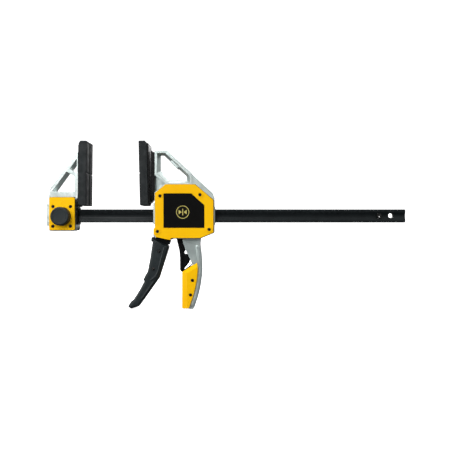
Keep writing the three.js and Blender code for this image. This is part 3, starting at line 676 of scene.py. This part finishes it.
# ---- Release trigger ------------------------------------------------------------------------------
TRIGGER_HALF, TRIGGER_EDGE, TAIL_HALF, TAIL_EDGE = 6.6, 1.9, 3.9, 0.9
blade_outline = rounded(on_body([
    (29.9, -23.5), (30.1, -31.7), (31.8, -38.9), (34.5, -50.4, 12), (35.2, -60.5, 20), (35.2, -77, 1.5),
    (36.8, -80.2, 1.6), (39.6, -80.6, 1.4), (41.9, -75.3), (47.6, -68.4, 2), (49.8, -63.4, 2), (48.1, -57.6, 2),
    (46.2, -54.7, 0.8), (41.9, -54.7, 0.8), (41.2, -51.9, 0.8), (42.9, -49.7, 0.8), (41.9, -44.7, 6),
    (38.3, -35.3, 4), (40.4, -31.5), (46, -25), (48.2, -18), (42, -14.6), (40.6, -19), (39.3, -30), (31.7, -30),
    (31.7, -23.5),
]), 4)
blade_line = on_body([(34.4, -36), (38, -50), (38.9, -60), (38.9, -75.5)])
WEB_TOP, WEB_DEPTH, WEB_STEP = -33, 2.4, 0.5


def blade_drop(spots, deep):
    """A stepped-back web behind the rounded finger edge."""
    past = spots[:, 0] - np.interp(-spots[:, 1], [-z for _, z in blade_line], [x for x, _ in blade_line])
    return np.where(spots[:, 1] < WEB_TOP, WEB_DEPTH * np.clip(past / WEB_STEP, 0, 1), 0)


marks = [beside(blade_line, offset, 0.8) for offset in (-0.02, WEB_STEP + 0.02)]
blade = relief("release_trigger_blade", blade_outline, TRIGGER_HALF, TRIGGER_EDGE, blade_drop,
               inner=None, extra=marks, spacing=1.3)
tail_outline = rounded(on_body([
    (37.6, -79.5), (38.6, -80.5), (42.8, -78.3, 3), (50, -73, 3), (53, -69.4, 0.4), (52, -68.8, 0.4),
    (49, -71.9, 3), (42, -76.9, 3), (38.6, -78),
]))
tail = relief("tail", tail_outline, TAIL_HALF, TAIL_EDGE, lambda spots, deep: 0, inner=None, spacing=1)
PIVOT_EYE, EYE_RADIUS, EYE_BORE, EYE_HALF = on_body([(44.4, -17.2)])[0], 4, 2.3, TRIGGER_HALF - 0.1
shaped(blade, "UNION", tail, prism("eye", circle(*PIVOT_EYE, EYE_RADIUS, 40), -EYE_HALF, EYE_HALF))
carve(blade, prism("bore", circle(*PIVOT_EYE, EYE_BORE, 24), -FAR, FAR))
soften(blade, 0.15 * MM, 1, angle=50)
settle(blade, black, "release_trigger", "black_plastic", "release_trigger")

# ---- Grip panels: a wide bevel along the finger side and the top edge -------------------------------
PANEL_HALF, BEVEL_DEPTH, FINGER_BEVEL, TOP_BEVEL = 14.6, 5.0, 7.4, 5.2


def wedge(name, start, end, width, side):
    """A tool that bevels the outer face along a line, BEVEL_DEPTH deep there and width across on its right."""
    (ax, az), (bx, bz) = start, end
    run = Vector((bx - ax, bz - az)).normalized()
    inward = Vector((run.y, -run.x))
    top = PANEL_HALF + 2
    section = [
        (-3, PANEL_HALF - BEVEL_DEPTH * (1 + 3 / width)), (width * (1 + 2 / BEVEL_DEPTH), top), (-3, top),
    ]
    bm = bmesh.new()
    ends = []
    for x, z in (start, end):
        spots = [Vector((x + inward.x * u, side * y, z + inward.y * u)) for u, y in section]
        ends.append([bm.verts.new(spot * MM) for spot in spots])
    bm.faces.new(ends[0])
    bm.faces.new(ends[1][::-1])
    for i in range(3):
        bm.faces.new((ends[0][i], ends[0][i - 1], ends[1][i - 1], ends[1][i]))
    return solid(name, bm)


for label, side in (("front", -1), ("back", 1)):
    panel = copied(f"grip_panel_bevelled_{label}", f"grip_panel_{label}")
    finger_side = on_body([(38.6, -140), (38.6, -70)])
    top_edge = on_body([(32, -84.3), (70, -60.5)])
    carve(panel, wedge("left", *finger_side, FINGER_BEVEL, side), wedge("upper", *top_edge, TOP_BEVEL, side))
    soften(panel, 0.45 * MM, 3, dissolve=True, angle=20)
    settle(panel, yellow, "sliding_jaw", "yellow_cover", f"grip_panel_{label}")

# ---- Lock button: dished face, grooved rim and fluted side -----------------------------------------
button_profile = [
    (0, -26.15), (5, -26.2), (8.6, -26.35), (9.3, -26.5), (9.6, -26.2), (9.9, -26.2), (10.2, -26.6),
    (10.5, -26.75), (11.4, -26.78), (12.2, -26.6), (12.8, -26.1), (13.1, -25.3), (13.1, -24.4),
    (13.05, -24, 0.5), (13.05, -16.2, 0.5), (13.1, -15.6), (13.0, -14.6), (12.8, -14.4), (11.1, -14.4),
    (11.1, -23.8), (0, -23.8),
]
low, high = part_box("lock_button")
centre = ((low.x + high.x) / 2 / MM, 0, (low.z + high.z) / 2 / MM)
button = lathe("lock_button_cap", button_profile, centre, 128)
soften(button, 0.1 * MM, 1, angle=50)
settle(button, dark_grip, "lock_button", "black_plastic", "lock_button")

# ---- Screws with a hexagon socket -------------------------------------------------------------------
SHANK, HEAD_RADIUS, HEAD_DEEP, SOCKET_RADIUS, SOCKET_DEEP = 1.5, 2.2, 1.1, 1.2, 0.8
for name in [n for n in nodes if "_screw_" in n]:
    low, high = (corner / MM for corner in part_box(name))
    into = -1 if "back" in name else 1
    head, tip = (high.y, low.y) if into < 0 else (low.y, high.y)
    under = head + into * HEAD_DEEP
    profile = [
        (0, tip), (SHANK - 0.3, tip), (SHANK, tip - into * 0.3), (SHANK, under), (HEAD_RADIUS - 0.2, under),
        (HEAD_RADIUS, under - into * 0.2), (HEAD_RADIUS, head + into * 0.35), (HEAD_RADIUS - 0.35, head), (0, head),
    ]
    x, z = (low.x + high.x) / 2, (low.z + high.z) / 2
    made = lathe(f"socket_{name}", profile, (x, 0, z), 24)
    hexagon = circle(x, z, SOCKET_RADIUS, 6)
    carve(made, prism("socket", hexagon, *sorted((head - into, head + into * SOCKET_DEEP))))
    soften(made, 0.06 * MM, 1, angle=40)
    body = "bar_and_head" if name.startswith("head") else "sliding_jaw"
    settle(made, screw_steel, body, "black_steel", name)

# ---- Jaw pads ---------------------------------------------------------------------------------------
PAD_THICK, PAD_HEIGHT, PAD_HALF, PAD_EDGE = 11.6, 92.0, 19.0, 1.5
CHANNEL_HALF, CHANNEL_FLOOR, CHANNEL_DEPTH = 3.9, 0.6, 2.0
NOTCH_HALF, NOTCH_DEPTH = 1, 1.1
BORDER_INSET, BORDER_HALF, BORDER_DEPTH = 2.9, 0.45, 0.45


def pad_drop(spots, deep):
    """An upright V channel, a notch across the middle and a fine line round the gripping face."""
    across, up = np.abs(spots[:, 0]), np.abs(spots[:, 1] - PAD_MIDDLE)
    channel = CHANNEL_DEPTH * np.clip((CHANNEL_HALF - across) / (CHANNEL_HALF - CHANNEL_FLOOR), 0, 1)
    notch = NOTCH_DEPTH * np.clip(1 - up / NOTCH_HALF, 0, 1)
    border = BORDER_DEPTH * np.clip(1.4 - np.abs(deep - BORDER_INSET) / BORDER_HALF, 0, 1)
    return np.maximum.reduce([channel, notch, border * (across > CHANNEL_HALF + 0.1)])


def jaw_pad(name, face, side, tilt, body, node):
    """A pad whose gripping face looks along side * X from the plane X = face, with its back corners cut off."""
    low, high = PAD_MIDDLE - PAD_HEIGHT / 2, PAD_MIDDLE + PAD_HEIGHT / 2
    corners = ((-PAD_HALF, low), (PAD_HALF, low), (PAD_HALF, high), (-PAD_HALF, high))
    edge = rounded([(y, z, PAD_EDGE) for y, z in corners], 4)
    back = face - side * PAD_THICK
    folds = (-CHANNEL_HALF, -CHANNEL_FLOOR, CHANNEL_FLOOR, CHANNEL_HALF)
    upright = [(y, low + PAD_HEIGHT * k / 60) for y in folds for k in range(61)]
    level = [(-PAD_HALF + k, PAD_MIDDLE + up) for up in (-NOTCH_HALF, 0, NOTCH_HALF) for k in range(39)]
    piece = relief(name, edge, PAD_THICK, PAD_EDGE, pad_drop, base=back, side=side, axis="x", inner=0,
                   insets=(2.25, 2.7, 3.1, 3.55), extra=(upright, level), spacing=2.4)
    # Each end: where the cut starts past the end, where it stops along the back, and its reach across.
    for word, start, reach, across in (("upper", high + 2, high - 5, 4.1), ("lower", low - 2, low + 4.1, 2.6)):
        corner = [(back - side, start), (back - side, reach), (back + side * across, start)]
        carve(piece, prism(word, corner, -FAR, FAR))
    turn(piece, tilt, (face, 0, PAD_MIDDLE))
    soften(piece, 0.5 * MM, 2, angle=50)
    settle(piece, rubber, body, "pad_rubber", node)


jaw_pad("fixed_pad_rubber", FIXED_FACE, 1, FIXED_TILT, "bar_and_head", "fixed_pad")
jaw_pad("moving_pad_rubber", MOVING_FACE, -1, MOVING_TILT, "sliding_jaw", "moving_pad")

# ---- Black sheets that paint the shadow in the joint under each cover, the crown on the handle's spine and the ring on the head ----
cover_outline = on_body([
    (1.2, 32.2, 1), (16, 44.4, 1), (57.7, 44.4, 1), (83.6, 22.3, 1.5), (83.6, -23.6, 1.5), (64.8, -31.4, 1),
    (24.2, -31.4, 0.8), (22, -34.2, 0.8), (2.2, -29.8, 1), (-0.7, -25.4, 2), (-0.7, -19.4, 2), (1.2, -16.4, 1),
])
head_outline = [(5.1, -20.2, 2.4), (41.4, -20.2, 2.4), (41.4, 26.4, 2.4), (5.1, 26.4, 2.4)]
BODY_HALF, HEAD_HALF = 17.02, 12.02  # faces of the castings under the covers
GAP_SHADE_OUT, GAP_SHADE_THICK, GAP_SHADE_EYE = 0.55, 0.26, 13.4  # past the cover's edge, thickness, radius round the button
spine_back = on_body([(64.3, -41.7), (66.4, -58.9), (67.2, -77.5), (65, -99), (60.7, -117.6), (56.6, -129.8)])
spine_front = on_body([
    (49.6, -130.4), (53.1, -119.8), (57.4, -105.6), (60.7, -88.5), (61.7, -74.3), (59.3, -60.3), (57.8, -40.3),
])
spine_outline = outset(smooth_curve(spine_back) + smooth_curve(spine_front), -0.5)
CROWN_HALF, CROWN_FOOT, CROWN_EDGE = 13.7, 12.5, 1.1


def crown_drop(spots, deep):
    """A face that falls away within 3 mm of its edge."""
    return 0.5 * np.clip(1 - deep / 3, 0, 1) ** 2


for label, side in (("front", -1), ("back", 1)):
    for word, edge, face, body in (
        ("body", cover_outline, BODY_HALF, "sliding_jaw"),
        ("head", head_outline, HEAD_HALF, "bar_and_head"),
    ):
        # A thin black sheet just past each cover's edge paints the shadow in the gap between cover and casting.
        span = sorted((side * face, side * (face + GAP_SHADE_THICK)))
        gap_shade = prism(f"{word}_cover_gap_shade_{label}", rounded(outset(edge, GAP_SHADE_OUT)), *span)
        if word == "head" and side < 0:
            carve(gap_shade, prism("eye", circle(centre[0], centre[2], GAP_SHADE_EYE, 48), -FAR, FAR))
        soften(gap_shade, 0)
        settle(gap_shade, black, body, "black_plastic")
    crown = relief(f"spine_crown_{label}", spine_outline, CROWN_HALF, CROWN_EDGE, crown_drop,
                   side=side, inner=CROWN_FOOT)
    soften(crown, 0)
    settle(crown, silver, "sliding_jaw", "cast_silver")

ring_profile = [(2.0, -15.1), (2.1, -15.45), (2.4, -15.5), (2.7, -15.45), (2.8, -15.1)]
ring = lathe("head_cover_mark", ring_profile, (centre[0] + 2, 0, 19.3), 32)
soften(ring, 0)
settle(ring, yellow, "bar_and_head", "yellow_cover")

# ---- Springs in place of their CAD nodes --------------------------------------------------------------
# Node, axis, radius, wire radius, turns, body, joint, fixed end in mm, and the share of its length that is left
# at the joint's limit.
for node, axis, radius, wire, turns, body, joint, fixed_end, keep in (
    ("lock_spring", "y", 6, 0.5, 5, "bar_and_head", "button_press", -7, 0.64),
    ("drive_spring", "x", 11.6, 0.7, 3.2, "sliding_jaw", "drive_feed", BODY_X + 30, 0.53),
    ("brake_spring", "x", 11.6, 0.7, 5, "sliding_jaw", "brake_tilt", BODY_X + 54.6, 0.93),
):
    low, high = (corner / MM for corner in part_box(node))
    middle = (low + high) / 2
    along = "xyz".index(axis)
    start, direction, anchor = list(middle), [0, 0, 0], [0, 0, 0]
    start[along], direction[along], anchor[along] = low[along], 1, fixed_end * MM
    coil = spring(f"{node}_coil", start, axis, high[along] - low[along], radius, wire, turns)
    coil.data.polygons.foreach_set("use_smooth", [True] * len(coil.data.polygons))
    settle(coil, bright_steel, body, "bright_steel", node)
    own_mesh(coil)

# ---- Printed mark on the dark plates: a ring with two arrows that close on a bar ----------------------
MARK_X, MARK_Z, PRINT_LOW, PRINT_HIGH = BODY_X + 40.4, 5.2, 21.3, 21.48
RING_OUTER, RING_INNER = 9.2, 8.3
BAR_HALF_WIDTH, BAR_HALF_HEIGHT = 0.6, 4.6
ARROW_TIP, ARROW_BASE, ARROW_HALF = 1.5, 5.6, 3.2
for label, side in (("front", -1), ("back", 1)):
    span = sorted((side * PRINT_LOW, side * PRINT_HIGH))
    ring = prism(f"badge_ring_{label}", circle(MARK_X, MARK_Z, RING_OUTER, 64), *span)
    carve(ring, prism("hole", circle(MARK_X, MARK_Z, RING_INNER, 64), -FAR, FAR))
    signs = ((-1, -1), (1, -1), (1, 1), (-1, 1))
    upright = [(MARK_X + a * BAR_HALF_WIDTH, MARK_Z + b * BAR_HALF_HEIGHT) for a, b in signs]
    parts = [ring, prism(f"badge_bar_{label}", upright, *span)]
    for way, word in ((-1, "left"), (1, "right")):
        base = MARK_X + way * ARROW_BASE
        arrow = [(MARK_X + way * ARROW_TIP, MARK_Z), (base, MARK_Z + ARROW_HALF), (base, MARK_Z - ARROW_HALF)]
        parts.append(prism(f"badge_arrow_{word}_{label}", arrow, *span))
    for part in parts:
        soften(part, 0)
        settle(part, badge_print, "sliding_jaw", "yellow_cover")
